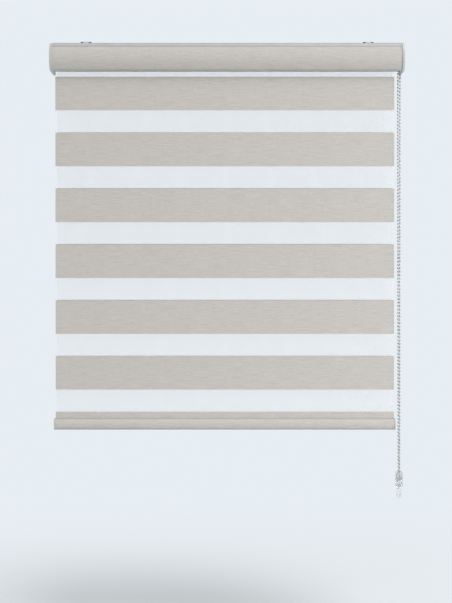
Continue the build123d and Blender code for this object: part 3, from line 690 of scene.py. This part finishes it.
def wheelPoints(centreZ, radius, teeth, startAngle):
    points = []
    for step in range(teeth // 2 + 1):
        angle = startAngle - 2 * math.pi * step / teeth
        y = chain["y"] + radius * math.cos(angle)
        points.append(Vector((chain["x"], y, centreZ + radius * math.sin(angle))))
    return points


def strandPoints(top, bottom):
    steps = chain["strandSteps"]
    return [top.lerp(bottom, step / steps) for step in range(1, steps)]


# Half round the sprocket from front to rear, and half round the pulley from rear to front
overTop = wheelPoints(chain["sprocketZ"], chain["sprocketRadius"], chain["sprocketTeeth"], math.pi)
roundFoot = wheelPoints(chain["pulleyZ"], chain["pulleyRadius"], chain["pulleyTeeth"], 0)
frontStrand = strandPoints(overTop[0], roundFoot[-1])
rearStrand = strandPoints(overTop[-1], roundFoot[0])


def between(start, end):
    turn = (end - start).to_track_quat("Z", "Y").to_matrix().to_4x4()
    return Matrix.Translation((start + end) / 2) @ turn


def makeBeads():
    shape = bmesh.new()
    for point in overTop + rearStrand + roundFoot + frontStrand:
        bmesh.ops.create_uvsphere(
            shape, u_segments=chain["beadSides"], v_segments=chain["beadRings"],
            radius=chain["beadRadius"], matrix=Matrix.Translation(point),
        )
    for face in shape.faces:
        face.smooth = True
    piece = finishMesh(shape, "chainBeads", [finishes["nickelBeads"]])
    placePiece(piece, "chain_beads", "headrail")


def makeChainCord():
    shape = bmesh.new()
    corners = overTop + roundFoot
    for start, end in zip(corners, corners[1:] + corners[:1]):
        made = bmesh.ops.create_cone(
            shape, segments=chain["cordSides"], radius1=chain["cordRadius"],
            radius2=chain["cordRadius"], depth=(end - start).length, cap_ends=True,
        )
        bmesh.ops.transform(shape, verts=made["verts"], matrix=between(start, end))
    softenEdges(shape, chain["cordSharpAngle"])
    piece = finishMesh(shape, "chainCord", [finishes["cordBraid"]])
    placePiece(piece, "chain_cord", "headrail")


makeBeads()
makeChainCord()

# The connector closes the chain over two beads.
connector = {
    "beads": (4, 5),  # counted down the front strand
    "radius": 0.0026,
    "length": 0.0122,
    "sides": 20,
    "waist": 0.8,
    "waistRounding": 0.0016,
    "rimRounding": 0.0006,
    "rimAngle": 60.0,
    "sharpAngle": 50.0,
}


def roundEdges(shape, edges, width):
    bmesh.ops.bevel(
        shape, geom=edges, offset=width, offset_type="OFFSET", affect="EDGES",
        segments=3, profile=0.5, material=-1,
    )


def makeConnector():
    shape = bmesh.new()
    length = connector["length"]
    bmesh.ops.create_cone(
        shape, segments=connector["sides"], radius1=connector["radius"],
        radius2=connector["radius"], depth=length, cap_ends=True,
    )
    sides = [
        edge for edge in shape.edges
        if abs(edge.verts[0].co.z - edge.verts[1].co.z) > length / 2
    ]
    bmesh.ops.subdivide_edges(shape, edges=sides, cuts=1)
    waist = [vert for vert in shape.verts if abs(vert.co.z) < length / 4]
    bmesh.ops.scale(shape, verts=waist, vec=(connector["waist"], connector["waist"], 1))
    ring = [edge for edge in shape.edges if all(vert in waist for vert in edge.verts)]
    roundEdges(shape, ring, connector["waistRounding"])
    rimAngle = math.radians(connector["rimAngle"])
    rims = [edge for edge in shape.edges if edge.calc_face_angle(0) > rimAngle]
    roundEdges(shape, rims, connector["rimRounding"])
    first, last = (frontStrand[index] for index in connector["beads"])
    bmesh.ops.transform(shape, verts=shape.verts, matrix=between(first, last))
    softenEdges(shape, connector["sharpAngle"])
    piece = finishMesh(shape, "chainConnector", [finishes["clearPlastic"]])
    placePiece(piece, "chain_connector", "headrail")


makeConnector()
print("chain strung")

# Studio: a pale floor far below, soft light from above the front and from the right, and a
# pale world
studio = {
    "floorZ": -1.35,
    "floorHalf": 60.0,
    "floorDark": (0.7326, 0.76725, 0.792),
    "floorLight": (0.74, 0.775, 0.80),
    "floorTone": (3.0, 3.0, 3.0),
    "floorSurface": {"Roughness": 0.9, "Specular IOR Level": 0.1},
    "fadeStart": 0.9,  # the floor's own shading gives way to the background from here
    "fadeEnd": 2.3,
    "worldColour": (1.0, 0.995, 0.985),
    "worldLight": 0.495,
    "backdrop": (0.80, 0.855, 0.895),
    "skyElevation": 60.0,
    "skyTurn": 26.0,
    "skyAngle": 25.0,
    "skyStrength": 1.7,
    "sidePlace": (2.5, -1.5, -0.35),
    "sideTarget": (0.0, 0.0, -0.45),
    "sideSize": 1.6,
    "sideWatts": 32.0,
}


def seenDirectly(tree):
    rays = addNode(tree, "ShaderNodeLightPath").outputs
    mirrored = mathNode(tree, "MAXIMUM", rays["Is Glossy Ray"], rays["Is Transmission Ray"])
    return mathNode(tree, "MAXIMUM", rays["Is Camera Ray"], mirrored)


def mixInto(tree, output, share, first, second):
    inputs = {0: share, 1: first.outputs[0], 2: second.outputs[0]}
    mix = addNode(tree, "ShaderNodeMixShader", inputs)
    tree.links.new(mix.outputs[0], tree.nodes[output].inputs["Surface"])


def makeFloor():
    material, tree, shader = newMaterial("paleFloor", studio["floorSurface"])
    place = objectCoordinates(tree)
    tone = scaledNoise(tree, place, studio["floorTone"])
    addColour(tree, shader, tone, studio["floorDark"], studio["floorLight"])
    # Far from the blind the floor takes the background's colour, so that no horizon shows.
    distance = addNode(tree, "ShaderNodeVectorMath", {0: place}, operation="LENGTH")
    fade = addNode(
        tree, "ShaderNodeMapRange",
        {0: distance.outputs["Value"], 1: studio["fadeStart"], 2: studio["fadeEnd"]},
        interpolation_type="SMOOTHSTEP",
    )
    far = addNode(tree, "ShaderNodeEmission", {"Color": (*studio["backdrop"], 1)})
    share = mathNode(tree, "MULTIPLY", fade.outputs["Result"], seenDirectly(tree))
    mixInto(tree, "Material Output", share, shader, far)
    shape = bmesh.new()
    bmesh.ops.create_grid(shape, x_segments=1, y_segments=1, size=studio["floorHalf"])
    bmesh.ops.translate(shape, verts=shape.verts, vec=(0, 0, studio["floorZ"]))
    finishMesh(shape, "floor", [material])


def makeWorld():
    world = bpy.data.worlds.new("studioWorld")
    world.use_nodes = True
    tree = world.node_tree
    light = tree.nodes["Background"]
    light.inputs["Color"].default_value = (*studio["worldColour"], 1)
    light.inputs["Strength"].default_value = studio["worldLight"]
    seen = addNode(tree, "ShaderNodeBackground", {"Color": (*studio["backdrop"], 1)})
    mixInto(tree, "World Output", seenDirectly(tree), light, seen)
    scene.world = world


def addLamp(light, place, turn):
    lamp = bpy.data.objects.new(light.name, light)
    lamp.location = place
    lamp.rotation_euler = turn
    scene.collection.objects.link(lamp)


def makeLights():
    sky = bpy.data.lights.new("skyLight", "SUN")
    sky.energy = studio["skyStrength"]
    sky.angle = math.radians(studio["skyAngle"])
    tilt = math.radians(90 - studio["skyElevation"])
    addLamp(sky, (0, 0, 0), (tilt, 0, math.radians(studio["skyTurn"])))
    side = bpy.data.lights.new("sideLight", "AREA")
    side.shape = "DISK"
    side.size = studio["sideSize"]
    side.energy = studio["sideWatts"]
    aim = Vector(studio["sideTarget"]) - Vector(studio["sidePlace"])
    addLamp(side, studio["sidePlace"], aim.to_track_quat("-Z", "Y").to_euler())


makeFloor()
makeWorld()
makeLights()
print("studio lit")
